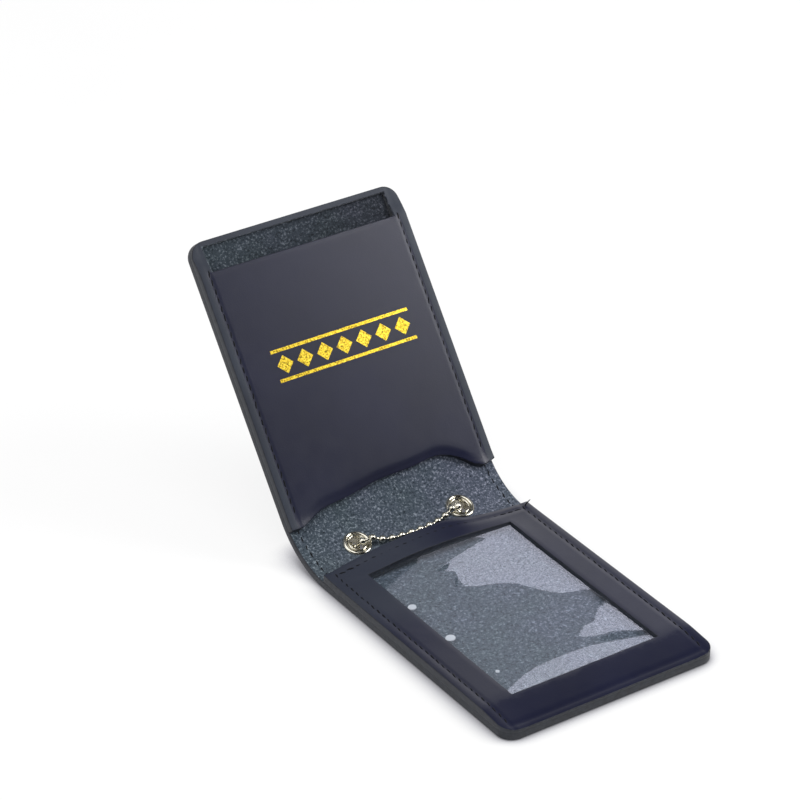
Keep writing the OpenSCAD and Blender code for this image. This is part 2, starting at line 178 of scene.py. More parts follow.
# Places where the film falls away from the front and mirrors the low lamp: outlines in mm, as
# (x, distance along the hide from the spine line), and pale dots painted on the film as glints,
# as (x, distance, radius)
FILM_FALLS = [
    [(-8.6, -16.8), (-1, -14.2), (5.1, -12.5), (11.4, -10.8), (19, -10.4), (23.7, -11.6),
     (25.6, -14.3), (26.1, -20.3), (26.1, -43.2), (26.1, -50.1), (21, -48.2), (16.8, -47.2),
     (13.1, -43.8), (10.8, -40.3), (8, -35.7), (2.8, -32.8), (-2.5, -31.7), (-6.7, -29.1),
     (-5.7, -24.2), (-4, -20.8)],
    [(21.6, -57.3), (25.9, -56.5), (26.1, -61.9), (26.1, -75.4), (24.3, -75.6), (18.5, -72.7),
     (13, -70.4), (9, -68.5), (7.4, -66.6), (12.8, -62.8), (16.9, -62.2)],
    [(-26.1, -77.8), (-22.7, -75.9), (-17, -73.4), (-11.2, -72), (-6.1, -71.6), (1, -71.6),
     (8, -72.1), (14.2, -73.4), (20.1, -75.3), (24.8, -77), (26.1, -77.6), (26.1, -80.9),
     (-26.1, -80.9)],
]
FILM_SLOPES = (0.02, 0.035, 0.045)
FILM_GLINTS = [(-24.3, -27.9, 1.3), (-24, -47.3, 1.5), (-22.4, -68.7, 0.6)]
FILM_TOP = TOP_T - 0.8 * MM
FILM_T = 0.25 * MM
FILM_LAP = 3 * MM
# The film's heights are worked out along lines of sight, which run this way across the window
AWAY = Vector((0.56, 0.83))
BESIDE = Vector((AWAY.y, -AWAY.x))
FILM_STEP = 0.45 * MM
FILM_REACH = 110 * MM

# The camera: its turn, tilt from straight down and roll in degrees, its place from the free end
# in mm, and its lens
CAMERA_TURNS = ((-34.098, "Z"), (90 - 30.545, "X"), (0.176, "Z"))
CAMERA_PLACE = (-508.10, -641.33, 581.16)
CAMERA_LENS = 157.5


# Shape of the wallet


def hide_point(x, along, up):
    """The standing wallet's point for a place in the flat hide."""
    if along <= 0:
        return Vector((x, FOLD_Y + along, up))
    turn = min(along, SPINE_LEN) / SPINE_R
    radius = OUTER_R - up
    y = FOLD_Y + radius * math.sin(turn)
    z = OUTER_R - radius * math.cos(turn)
    over = max(0.0, along - SPINE_LEN)
    return Vector((x, y + over * math.cos(turn), z + over * math.sin(turn)))


def smooth(share):
    """A share from 0 to 1, with a level start and end."""
    share = min(1.0, max(0.0, share))
    return share * share * (3 - 2 * share)


def curve_through(table, x):
    """A smooth curve through a table of (x, value) pairs, level beyond its ends."""
    if x <= table[0][0]:
        return table[0][1]
    if x >= table[-1][0]:
        return table[-1][1]
    i = next(k for k in range(1, len(table)) if x <= table[k][0]) - 1
    (x0, a), (x1, b) = table[i], table[i + 1]

    def slope(k):
        if k in (0, len(table) - 1):
            return 0.0
        left, right = table[k - 1], table[k + 1]
        return (right[1] - left[1]) / (right[0] - left[0])

    t, wide = (x - x0) / (x1 - x0), x1 - x0
    t2, t3 = t * t, t * t * t
    from_a = (2 * t3 - 3 * t2 + 1) * a + (t3 - 2 * t2 + t) * wide * slope(i)
    return from_a + (3 * t2 - 2 * t3) * b + (t3 - t2) * wide * slope(i + 1)


def mouth_lift(x, along):
    """How far the window leather stands above its flat place."""
    mouth = curve_through(MOUTH_RISE, x / MM) * MM
    sill = curve_through(SILL_RISE, x / MM) * MM
    if along >= WINDOW_FAR:
        return sill + (mouth - sill) * smooth((along - WINDOW_FAR) / -WINDOW_FAR)
    return sill * (1 - smooth((WINDOW_FAR - along) / SILL_FADE))


def end_drop(x, along):
    """How far the top sinks between the window and the free end, less at the two corners."""
    share = max(0.0, (WINDOW_NEAR - along) / (LOWER_LEN + WINDOW_NEAR))
    at_corner = smooth((abs(x) - 28 * MM) / (9.5 * MM))
    return END_DROP * share**1.15 * (1 - 0.25 * at_corner)


def rim_drop(along):
    """How far the pocket leather is skived down round the card slot."""
    return RIM_DROP * smooth((along - SLOT_NEAR) / RIM_REACH)


def seam_press(x, along):
    """How deep the thread pulls the window leather down at a place."""
    gaps = [abs(abs(x) - STITCH_X)]
    if abs(x) < STITCH_X:
        gaps += [abs(along - NEAR_SEAM), abs(along - MOUTH_SEAM)]
    return WINDOW_PRESS * max(0.0, 1 - min(gaps) / GROOVE)


def share_up(up):
    """A place's share of the smooth leather's thickness, from its underside."""
    return (up - COVER_T) / LEATHER_T


# Tools


def linear(colour, alpha=1.0):
    """A linear colour from an sRGB hex value."""
    parts = [int(colour[i : i + 2], 16) / 255 for i in (1, 3, 5)]
    return (*[p / 12.92 if p <= 0.04045 else ((p + 0.055) / 1.055) ** 2.4 for p in parts], alpha)


def clear_selection():
    if bpy.context.object and bpy.context.object.mode != "OBJECT":
        bpy.ops.object.mode_set(mode="OBJECT")
    bpy.ops.object.select_all(action="DESELECT")


def primitive(name, add, **settings):
    """A new primitive of one of Blender's own kinds, under its own name."""
    clear_selection()
    add(**settings)
    made = bpy.context.object
    made.name = name
    made.data.name = name
    return made


def activate(piece):
    clear_selection()
    piece.select_set(True)
    bpy.context.view_layer.objects.active = piece


def open_mesh(piece):
    activate(piece)
    bpy.ops.object.mode_set(mode="EDIT")
    bpy.ops.mesh.select_all(action="SELECT")


def close_mesh():
    bpy.ops.object.mode_set(mode="OBJECT")


def pick(piece, kind, test):
    """Select the vertices, edges or faces whose middle passes the test."""
    bpy.ops.mesh.select_mode(type=kind)
    bpy.ops.mesh.select_all(action="DESELECT")
    mesh = bmesh.from_edit_mesh(piece.data)
    for item in {"VERT": mesh.verts, "EDGE": mesh.edges, "FACE": mesh.faces}[kind]:
        corners = [item] if kind == "VERT" else item.verts
        if test(sum((v.co for v in corners), Vector()) / len(corners)):
            item.select_set(True)
    mesh.select_flush_mode()
    bmesh.update_edit_mesh(piece.data)


def bake_place(piece):
    activate(piece)
    bpy.ops.object.transform_apply(location=True, rotation=True, scale=True)


def apply_modifier(piece, kind, **settings):
    activate(piece)
    made = piece.modifiers.new(kind.title(), kind)
    for key, value in settings.items():
        setattr(made, key, value)
    bpy.ops.object.modifier_apply(modifier=made.name)


def subtract(piece, cutter):
    apply_modifier(piece, "BOOLEAN", object=cutter, operation="DIFFERENCE", solver="EXACT")
    bpy.data.objects.remove(cutter)


def shade_smooth(piece, degrees):
    """Smooth all but the arrises sharper than an angle."""
    activate(piece)
    bpy.ops.object.shade_smooth_by_angle(angle=math.radians(degrees))


def soften(piece, width, degrees):
    """Round the arrises sharper than an angle, and smooth the piece."""
    apply_modifier(
        piece, "BEVEL", width=width, segments=2, limit_method="ANGLE",
        angle_limit=math.radians(degrees),
    )
    shade_smooth(piece, 45)


def add_copy(whole, template, move):
    """Add the template's mesh to a whole, with each point where move puts it."""
    part = template.data.copy()
    for v in part.vertices:
        v.co = move(v.co)
    whole.from_mesh(part)
    bpy.data.meshes.remove(part)


def piece_from(name, whole):
    """The object that a bmesh has been filled for."""
    mesh = bpy.data.meshes.new(name)
    whole.to_mesh(mesh)
    whole.free()
    piece = bpy.data.objects.new(name, mesh)
    bpy.context.scene.collection.objects.link(piece)
    return piece


def turned_to(way):
    return Vector((0, 0, 1)).rotation_difference(way).to_matrix().to_4x4()


# Sheets of leather


def both_sides(*places):
    return [side * place for side in (-1, 1) for place in places]


def seam_lines(place):
    """The lines along a seam: its middle and the two sides of its groove."""
    return [place - GROOVE, place, place + GROOVE]


def spread(low, high, step, extra=()):
    """Even places between two ends, with the extra places in, and none nearly twice."""
    count = max(1, round((high - low) / step))
    places = [low + (high - low) * i / count for i in range(1, count)]
    kept = [p for p in places if all(abs(p - e) > 0.4 * step for e in extra)]
    return sorted(kept + [e for e in extra if low < e < high])


def flat_sheet(name, near, far, round_near, round_far):
    """A flat sheet of the hide's width with rounded corners at its free ends."""
    middle = (near + far) / 2
    piece = primitive(name, bpy.ops.mesh.primitive_plane_add, size=1)
    piece.scale = (HIDE_W, far - near, 1)
    piece.location = (0, middle, 0)
    bake_place(piece)
    open_mesh(piece)
    pick(piece, "VERT", lambda p: (p.y < middle and round_near) or (p.y > middle and round_far))
    corner = bpy.context.scene.wallet_sizes.corner
    bpy.ops.mesh.bevel(offset=corner, segments=10, affect="VERTICES")
    close_mesh()
    return piece


def cut_lines(piece, across, along):
    """Cut a flat sheet along lines at these places across it and along it."""
    open_mesh(piece)
    for way, places in (((1, 0, 0), across), ((0, 1, 0), along)):
        for place in places:
            bpy.ops.mesh.select_all(action="SELECT")
            bpy.ops.mesh.bisect(
                plane_co=tuple(place * w for w in way), plane_no=way, threshold=1e-6
            )
    close_mesh()


def thicken(piece, thick, base, rounding):
    """Give a flat sheet its thickness above base, and round its arrises as rounding says."""
    apply_modifier(piece, "SOLIDIFY", thickness=thick, offset=1.0)
    for v in piece.data.vertices:
        v.co.z += base
    mesh = bmesh.new()
    mesh.from_mesh(piece.data)
    weight = mesh.edges.layers.float.new("bevel_weight_edge")
    for edge in mesh.edges:
        if len(edge.link_faces) == 2 and edge.calc_face_angle() > math.radians(60):
            edge[weight] = rounding((edge.verts[0].co + edge.verts[1].co) / 2) / MM
    mesh.to_mesh(piece.data)
    mesh.free()
    apply_modifier(piece, "BEVEL", width=1 * MM, segments=4, limit_method="WEIGHT")


def panel_rounding(place):
    """Rounding of the smooth leather: full outside, less round its openings, little below."""
    if place.z < (COVER_T + TOP_T) / 2:
        return UNDER_ROUND
    outside = abs(place.x) > HIDE_W / 2 - 6 * MM or place.y < WINDOW_NEAR
    return OUTSIDE_ROUND if outside else OPENING_ROUND


def finish_faces(piece, top, bottom):
    """Give a flat piece its materials by the way its faces look, and smooth it."""
    for finish in (top, bottom, material(burnished_edge)):
        piece.data.materials.append(finish)
    for face in piece.data.polygons:
        up = face.normal.z
        face.material_index = 0 if up > 0.93 else 1 if up < -0.93 else 2
        face.use_smooth = True


def panel(name, near, far, opening, along):
    """A flat panel of the smooth leather, with its opening and with lines along its seams."""
    half, low, high = opening
    piece = flat_sheet(name, near, far, near < 0, far > 0)
    across = spread(-HIDE_W / 2, HIDE_W / 2, PANEL_STEP, both_sides(half, *seam_lines(STITCH_X)))
    cut_lines(piece, across, along)
    open_mesh(piece)
    pick(piece, "FACE", lambda p: abs(p.x) < half and low < p.y < high)
    bpy.ops.mesh.delete(type="FACE")
    close_mesh()
    thicken(piece, LEATHER_T, COVER_T, panel_rounding)
    finish_faces(piece, material(corrected_grain, "navy_smooth"), material(suede_nap, "suede_under"))
    return piece


def bend_to_hide(piece):
    """Lay a piece made in hide coordinates on the standing wallet."""
    for v in piece.data.vertices:
        v.co = hide_point(v.co.x, v.co.y, v.co.z)
    piece.data.update()


def blend_front(piece):
    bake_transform(piece)


def blend_back(piece):
    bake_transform(piece)


# Materials


def node(tree, kind, inputs=(), stops=(), **settings):
    """Add a shader node with its settings, its input values and its links.

    Inputs are given by name or number, or as a list in the sockets' own order. A node among them
    stands for its first output, and a hex value for its linear colour.
    """
    made = tree.nodes.new("ShaderNode" + kind)
    for key, value in settings.items():
        setattr(made, key, value)
    if stops:
        ramp = made.color_ramp
        while len(ramp.elements) < len(stops):
            ramp.elements.new(1.0)
        for element, (place, colour) in zip(ramp.elements, stops):
            element.position = place
            element.color = linear(colour) if isinstance(colour, str) else colour
    for key, value in inputs.items() if isinstance(inputs, dict) else enumerate(inputs):
        if isinstance(value, bpy.types.Node):
            value = value.outputs[0]
        if isinstance(value, bpy.types.NodeSocket):
            tree.links.new(value, made.inputs[key])
        else:
            made.inputs[key].default_value = linear(value) if isinstance(value, str) else value
    return made


def material(build, name=None):
    """The material of a finish, made once. Its name tells apart the finishes of one build."""
    name = name or build.__name__
    made = bpy.data.materials.get(name)
    if not made:
        made = bpy.data.materials.new(name)
        made.use_nodes = True
        made.node_tree.nodes.clear()
        add = partial(node, made.node_tree)
        place = add("TexCoord").outputs["Object"]
        add("OutputMaterial", {"Surface": build(add, place, *FINISHES.get(name, ()))})
    return made


def per_mm(size):
    """Texture scale at which a noise feature is about that many millimetres wide."""
    return 1 / (size * MM)


# Suede: its dark, middle and pale flecks. Leather: its colour and its worn colour, its roughness,
# the width of its pebbles in mm and their depth in mm.
FINISHES = {
    "suede_flesh": ("#202931", "#505a65", "#a2aab4"),
    "suede_under": ("#1b2530", "#3c4651", "#6d7781"),
    "navy_smooth": ("#11142a", "#14172f", 0.33, 0.35, 0.03),
    "navy_skived": ("#252a36", "#2d333f", 0.5, 0.5, 0.05),
    "navy_grain": ("#12151f", "#1a1e2b", 0.42, 0.5, 0.05),
}


def suede_nap(add, place, dark, middle, light):
    # Split hide, the flesh side buffed to a nap: matt, with pale and dark fibre flecks 0.5-0.8 mm
    # long, and a dye that drifts between teal and violet. Painted shade darkens it in the card slot,
    # most on the right, and painted light lifts the suede seen through the window film
    cloud = add("TexNoise", {"Vector": place, "Scale": per_mm(16), "Detail": 2})
    fibre = add(
        "TexNoise", {"Vector": place, "Scale": per_mm(0.75), "Detail": 3, "Roughness": 0.75}
    )
    flecks = add("ValToRGB", [fibre], [(0.33, dark), (0.46, middle), (0.54, middle), (0.67, light)])
    spot = add("SeparateXYZ", [place])
    across = add("MapRange", [spot.outputs["X"], -HIDE_W / 2, HIDE_W / 2, -0.2, 0.2])
    drift = add("Math", [cloud, across], operation="ADD")
    dye = add("ValToRGB", [drift], [(0.3, "#dce3e3"), (0.5, "#e6e8ee"), (0.7, "#f9f3ff")])
    dyed = add("Mix", {0: 1.0, 6: flecks, 7: dye}, data_type="RGBA", blend_type="MULTIPLY")
    # Painted shade: from 66-72 mm up, in the card slot, the suede darkens, more towards the right
    slot_shade_across = add("MapRange", [across, -0.2, 0.2, 0.54, 0.2])
    slot = add("MapRange", [spot.outputs["Z"], 66 * MM, 72 * MM, 0.79, slot_shade_across])
    # Painted light: the suede under the window film is lifted 1.29 times
    kept = add("MapRange", [spot.outputs["Y"], FOLD_Y - 8 * MM, FOLD_Y, 1.29, 1.0])
    value = add("Math", [slot, kept], operation="MULTIPLY")
    shaded = add("HueSaturation", {"Color": dyed.outputs[2], "Value": value})
    bump = add("Bump", {"Height": fibre, "Strength": 0.5, "Distance": 0.3 * MM})
    return add(
        "BsdfPrincipled",
        {"Base Color": shaded, "Roughness": 0.95, "Specular IOR Level": 0.15, "Sheen Weight": 0.2,
         "Sheen Roughness": 0.5, "Normal": bump},
    )


def corrected_grain(add, place, base, worn, rough, pebble_mm, depth_mm):
    # Corrected-grain cowhide, drum-dyed and finished with a satin pigment coat, duller at the free
    # end, with a painted highlight that lightens it round the window's left corner at the mouth
    cloud = add("TexNoise", {"Vector": place, "Scale": per_mm(26), "Detail": 2})
    pebble = add(
        "TexVoronoi", {"Vector": place, "Scale": per_mm(pebble_mm), "Randomness": 1.0},
        feature="SMOOTH_F1",
    )
    crease = add("TexNoise", {"Vector": place, "Scale": per_mm(4), "Detail": 4, "Roughness": 0.6})
    tone = add("ValToRGB", [cloud], [(0.35, base), (0.68, worn)])
    # Painted highlight: lighter within 14-38 mm of the window's left corner at the mouth
    sheen_spot_gap = add("VectorMath", [place, (-26 * MM, FOLD_Y - 7 * MM, 0)], operation="DISTANCE")
    rubbed = add(
        "MapRange", [sheen_spot_gap.outputs["Value"], 14 * MM, 38 * MM, 1.0, 0.0],
        interpolation_type="SMOOTHSTEP",
    )
    with_painted_sheen = add("Mix", {0: rubbed, 6: tone, 7: "#2d313d"}, data_type="RGBA")
    spot = add("SeparateXYZ", [place])
    ragged = add("Math", [crease, 9 * MM, spot.outputs["Y"]], operation="MULTIPLY_ADD")
    dull = add(
        "MapRange", [ragged, -31.5 * MM, -28.5 * MM, 0.19, 0.32],
        interpolation_type="SMOOTHSTEP",
    )
    height = add("Math", [pebble, crease], operation="ADD")
    bump = add("Bump", {"Height": height, "Strength": 0.35, "Distance": depth_mm * MM})
    gloss = add("MapRange", [crease, 0.3, 0.7, rough - 0.02, rough + 0.04])
    return add(
        "BsdfPrincipled",
        {"Base Color": with_painted_sheen.outputs[2], "Roughness": gloss, "Specular IOR Level": dull,
         "Normal": bump},
    )


def burnished_edge(add, place):
    # Cut leather edge, painted and burnished: smoother and greyer than the grain
    streak = add("TexNoise", {"Vector": place, "Scale": per_mm(1.4), "Detail": 4})
    tone = add("ValToRGB", [streak], [(0.3, "#14171f"), (0.7, "#22262f")])
    bump = add("Bump", {"Height": streak, "Strength": 0.4, "Distance": 0.12 * MM})
    return add(
        "BsdfPrincipled",
        {"Base Color": tone, "Roughness": 0.5, "Specular IOR Level": 0.4, "Normal": bump},
    )


def nickel_plate(add, place):
    # Nickel plate on brass: bright, slightly warm, with fine handling haze
    haze = add("TexNoise", {"Vector": place, "Scale": per_mm(1.2), "Detail": 3})
    rough = add("MapRange", {"Value": haze, "To Min": 0.07, "To Max": 0.2})
    tone = add("ValToRGB", [haze], [(0.3, "#cfcabb"), (0.7, "#efece0")])
    return add("BsdfPrincipled", {"Base Color": tone, "Metallic": 1.0, "Roughness": rough})


def clear_pvc(add, place):
    # Clear soft PVC sheet with a slight milky haze: its two faces mirror the room, in fine specks
    # where the nap behind presses on it, and pale painted glints show along one side
    ripple = add("TexNoise", {"Vector": place, "Scale": per_mm(9), "Detail": 1})
    bump = add("Bump", {"Height": ripple, "Strength": 0.3, "Distance": 0.05 * MM})
    share = add("Fresnel", {"IOR": 1.53, "Normal": bump})
    side = add("NewGeometry")
    front = add("Math", [1.0, side.outputs["Backfacing"]], operation="SUBTRACT")
    pressed = add(
        "TexNoise", {"Vector": place, "Scale": per_mm(0.55), "Detail": 3, "Roughness": 0.75}
    )
    faces = add("MapRange", [pressed, 0.35, 0.65, 0.9, 2.6])
    both = add("Math", [share, faces], operation="MULTIPLY", use_clamp=True)
    facing = add("Math", [both, front], operation="MULTIPLY")
    through = add("BsdfTransparent", {"Color": "#f6f8f9"})
    mirror = add("BsdfGlossy", {"Color": "#e4e6fa", "Roughness": 0.04, "Normal": bump})
    haze = add("BsdfDiffuse", {"Color": "#c3cfd8"})
    hazy = add("MixShader", [0.015, through, haze])
    surface = add("MixShader", [facing, hazy, mirror])
    # Painted glints: pale opaque spots on the film's left side
    painted_glint = add(
        "BsdfPrincipled",
        {"Base Color": "#b4bac4", "Roughness": 0.5, "Specular IOR Level": 0.2},
    )
    for x, along, radius in FILM_GLINTS:
        middle = hide_point(x * MM, along * MM, FILM_TOP)
        gap = add("VectorMath", [place, middle], operation="DISTANCE")
        dot = add("Math", [gap.outputs["Value"], radius * MM], operation="LESS_THAN")
        surface = add("MixShader", [dot, surface, painted_glint])
    return surface


def bonded_thread(add, place):
    # Bonded polyester sewing thread, black-navy, two plies twisted
    ply = add("TexNoise", {"Vector": place, "Scale": per_mm(0.25), "Detail": 2})
    pale = bpy.context.scene.wallet_looks.thread
    tone = add("ValToRGB", [ply], [(0.35, "#050609"), (0.7, pale)])
    bump = add("Bump", {"Height": ply, "Strength": 0.6, "Distance": 0.08 * MM})
    return add(
        "BsdfPrincipled",
        {"Base Color": tone, "Roughness": 0.7, "Specular IOR Level": 0.2, "Normal": bump},
    )


def gold_foil(add, place):
    # Hot-stamped gold foil on leather: metallic, crazed by the grain below
    crackle = add(
        "TexNoise", {"Vector": place, "Scale": per_mm(0.55), "Detail": 5, "Roughness": 0.7}
    )
    gold = bpy.context.scene.wallet_looks.foil
    tone = add("ValToRGB", [crackle], [(0.38, "#5a4a12"), (0.52, gold), (0.7, "#f6e05a")])
    bump = add("Bump", {"Height": crackle, "Strength": 0.5, "Distance": 0.06 * MM})
    return add(
        "BsdfPrincipled",
        {"Base Color": tone, "Metallic": 0.75, "Roughness": 0.38, "Normal": bump},
    )


def charcoal_rubber(add, place):
    # Moulded rubber band, matt charcoal
    dust = add("TexNoise", {"Vector": place, "Scale": per_mm(0.8), "Detail": 3})
    charcoal = bpy.context.scene.wallet_looks.band
    tone = add("ValToRGB", [dust], [(0.3, charcoal), (0.7, "#2c2d33")])
    return add("BsdfPrincipled", {"Base Color": tone, "Roughness": 0.7})


def studio_paper(add, place):
    # Seamless white studio paper, lit from behind: its own light thins the shadow that it keeps.
    # Its emission is darkened near the wallet by ambient occlusion, a painted contact shadow
    mottle = add("TexNoise", {"Vector": place, "Scale": per_mm(60), "Detail": 2})
    tone = add("ValToRGB", [mottle], [(0.3, "#f7f7f8"), (0.7, "#fbfbfb")])
    paper = add("BsdfPrincipled", {"Base Color": tone, "Roughness": 0.9, "Specular IOR Level": 0.1})
    # Painted contact shadow: occlusion tilted so that it falls deeper on the near side
    under = add(
        "AmbientOcclusion", {"Distance": 12 * MM, "Normal": (-0.12, 0.15, 0.98)}, samples=16
    )
    shaded = add(
        "ValToRGB", [under.outputs["AO"]],
        [(0.43, "#6e6e74"), (0.57, "#a2a2a8"), (0.68, "#c8c8cd"), (0.76, "#e0e0e3"),
         (0.82, "#f0f0f2"), (0.88, "#fafafa"), (0.94, "#ffffff")],
    )
    painted_shadow_glow = add("Emission", {"Color": shaded, "Strength": 1.0})
    rays = add("LightPath")
    share = add("MapRange", {"Value": rays.outputs["Is Camera Ray"], "To Min": 0.0, "To Max": 0.8})
    return add("MixShader", [share, paper, painted_shadow_glow])


# The stage


class WALLET_OT_stage(bpy.types.Operator):
    """Floor, lamps, world and the camera at the photograph's angle"""

    bl_idname = "wallet.stage"
    bl_label = "Stage"

    def execute(self, context):
        scene = context.scene
        floor = primitive(
            "floor", bpy.ops.mesh.primitive_plane_add, size=6, location=(0, 0, -0.05 * MM)
        )
        bake_place(floor)
        floor.data.materials.append(material(studio_paper))
        self.set_camera(scene)
        self.hang_lamps(scene, scene.wallet_looks)
        self.light_world(scene, scene.wallet_looks)
        scene.view_settings.view_transform = "Standard"
        return {"FINISHED"}

    def set_camera(self, scene):
        lens = bpy.data.cameras.new("camera")
        lens.lens = CAMERA_LENS
        lens.sensor_width = 36
        lens.clip_start = 0.01
        camera = bpy.data.objects.new("camera", lens)
        place = Vector(CAMERA_PLACE) * MM + Vector((0, FOLD_Y - LOWER_LEN, 0))
        stand = Matrix.Translation(place)
        for degrees, axis in CAMERA_TURNS:
            stand = stand @ Matrix.Rotation(math.radians(degrees), 4, axis)
        camera.matrix_world = stand
        scene.collection.objects.link(camera)
        scene.camera = camera

    def hang_lamps(self, scene, looks):
        aim = Vector((0, 20 * MM, 10 * MM))
        # Heading and rise in degrees, distance, width and height in metres, radiance
        for name, heading, rise, far, wide, tall, radiance in (
            ("overhead", -110, 70, 1.3, 1.3, 1.3, looks.overhead),
            ("low_back", 37, 22.3, 1.2, 0.95, 0.42, looks.low_back),
            ("front_right", 117, 38, 0.64, 0.22, 0.3, looks.front_right),
            ("left", -75, 26, 1.2, 1.6, 0.6, looks.left),
        ):
            turn, lift = math.radians(heading), math.radians(rise)
            level = math.cos(lift)
            way = Vector((math.sin(turn) * level, math.cos(turn) * level, math.sin(lift)))
            lamp = bpy.data.lights.new(name, "AREA")
            lamp.shape = "RECTANGLE"
            lamp.size, lamp.size_y = wide, tall
            lamp.energy = radiance * math.pi * wide * tall
            held = bpy.data.objects.new(name, lamp)
            held.location = aim + way * far
            held.rotation_euler = way.to_track_quat("Z", "Y").to_euler()
            scene.collection.objects.link(held)

    def light_world(self, scene, looks):
        """White where it is seen, an even room light elsewhere, and a dark ceiling in mirrors"""
        world = bpy.data.worlds.new("studio")
        world.use_nodes = True
        world.node_tree.nodes.clear()
        add = partial(node, world.node_tree)
        rays = add("LightPath").outputs
        seen = rays["Is Camera Ray"]
        for ray in ("Is Transmission Ray", "Is Glossy Ray"):
            seen = add("Math", [seen, rays[ray]], operation="MAXIMUM")
        view = add("TexCoord").outputs["Generated"]
        spot = add("SeparateXYZ", [view])
        steep = add("VectorMath", [view, (0, -0.4, 1)], operation="DOT_PRODUCT")
        ceiling = add(
            "MapRange", [steep.outputs["Value"], 0.38, 0.58, 0.62, looks.ceiling],
            interpolation_type="SMOOTHSTEP",
        )
        behind = add(
            "MapRange", [spot.outputs["Y"], -0.5, 0.3, 0.15, 1.0],
            interpolation_type="SMOOTHSTEP",
        )
        mirrored = add("Math", [ceiling, behind], operation="MULTIPLY")
        room = add("Mix", {"Factor": rays["Is Camera Ray"], "A": mirrored, "B": 1.0})
        strength = add("Mix", {"Factor": seen, "A": looks.world_light, "B": room})
        sky = add("Background", {"Color": "#ffffff", "Strength": strength})
        add("OutputWorld", {"Surface": sky})
        scene.world = world


# The ball chain


def from_fold(points):
    """Points given in mm from the fold."""
    return [Vector((x, y, z)) * MM + Vector((0, FOLD_Y, 0)) for x, y, z in points]


def from_band(points):
    """Points given across, along and above the suede at the eyelets, in mm."""
    base = hide_point(0, EYELET_ALONG, COVER_T)
    ahead = Vector((0, math.cos(BAND_TURN), math.sin(BAND_TURN)))
    up = Vector((0, -math.sin(BAND_TURN), math.cos(BAND_TURN)))
    return [base + Vector((x * MM, 0, 0)) + ahead * (y * MM) + up * (z * MM) for x, y, z in points]


def lead_points(side, route):
    """A lead's points, from the middle of its eyelet out through its back."""
    middle = hide_point(side * EYELET_X, EYELET_ALONG, COVER_T / 2)
    down = Vector((0, math.sin(BAND_TURN), -math.cos(BAND_TURN)))
    return [middle, middle + down * (0.4 * MM)] + from_fold(route)


def coil_points():
    """The stored chain: in from the right lead, round the coil's turns, out to the connector."""
    points = []
    for i in range(int(COIL_TURNS * RINGS_PER_TURN) + 1):
        turn = i / RINGS_PER_TURN
        radius = COIL_R - COIL_STEP * min(turn, COIL_TURNS - turn)
        climb = smooth((turn - COIL_TURNS / 2 + CLIMB_SHARE) / (2 * CLIMB_SHARE))
        angle = math.tau * turn
        x, y = (m + radius * f(angle) for m, f in zip(COIL_MIDDLE, (math.cos, math.sin)))
        points.append((x, y, COIL_FLOOR + BEAD_D / MM / 2 + COIL_STEP * climb))
    return from_fold([LEAD_RIGHT_ROUTE[-1]] + points + TAIL_ROUTE)


def route_length(points):
    return sum((b - a).length for a, b in zip(points, points[1:]))


def smooth_route(points, steps=6):
    """A finer route on one smooth curve through the same points."""
    fine = []
    for i in range(len(points) - 1):
        before = points[i - 1] if i else points[0] * 2 - points[1]
        after = points[i + 2] if i + 2 < len(points) else points[-1] * 2 - points[-2]
        a, b = points[i], points[i + 1]
        for k in range(steps):
            t = k / steps
            fine.append(
                0.5 * (2 * a + (b - before) * t + (2 * before - 5 * a + 4 * b - after) * t * t
                       + (3 * a - before - 3 * b + after) * t * t * t)
            )
    return fine + [points[-1]]


def along_route(points, far):
    """The point that lies that far along a route, and the route's direction there."""
    for a, b in zip(points, points[1:]):
        step = (b - a).length
        if far <= step or b is points[-1]:
            return a + (b - a) * (far / step), (b - a).normalized()
        far -= step


def bead_mesh(segments, rings):
    """One bead: a sphere pierced at both poles, with the rolled-in lips of its two holes."""
    bead = primitive(
        "bead_template", bpy.ops.mesh.primitive_uv_sphere_add,
        segments=segments, ring_count=rings, radius=BEAD_D / 2,
    )
    open_mesh(bead)
    pick(bead, "FACE", lambda p: abs(p.z) > BEAD_D * 0.455)
    bpy.ops.mesh.inset(thickness=0.12 * MM)
    bpy.ops.transform.resize(value=(1, 1, 0.86))
    close_mesh()
    return bead


def chain_piece(name, points, bead, middle):
    """Beads along a route, even to both sides of one place on it, and the wire between them."""
    long = route_length(points)
    first = (middle / BEAD_PITCH + 0.5) % 1.0
    count = int(long / BEAD_PITCH - first + 0.5)
    places = [(i + first) * BEAD_PITCH for i in range(count + 1)]
    spots = [along_route(points, p) for p in places if p < long - BEAD_D / 4]
    whole = bmesh.new()
    rng = random.Random(len(name) * 7 + count)
    for place, way in spots:
        spin = Matrix.Rotation(rng.uniform(0, math.tau), 4, "Z")
        turned = Matrix.Translation(place) @ turned_to(way) @ spin
        add_copy(whole, bead, lambda point: turned @ point)
    knots = [points[0]] + [s[0] for s in spots] + [points[-1]]
    for a, b in zip(knots, knots[1:]):
        if (b - a).length < BEAD_D / 4:
            continue
        link = Matrix.Translation((a + b) / 2) @ turned_to((b - a).normalized())
        bmesh.ops.create_cone(
            whole, cap_ends=True, segments=8, radius1=WIRE_D / 2, radius2=WIRE_D / 2,
            depth=(b - a).length, matrix=link,
        )
    piece = piece_from(name, whole)
    piece.data.shade_smooth()
    piece.data.materials.append(material(nickel_plate))
    return piece


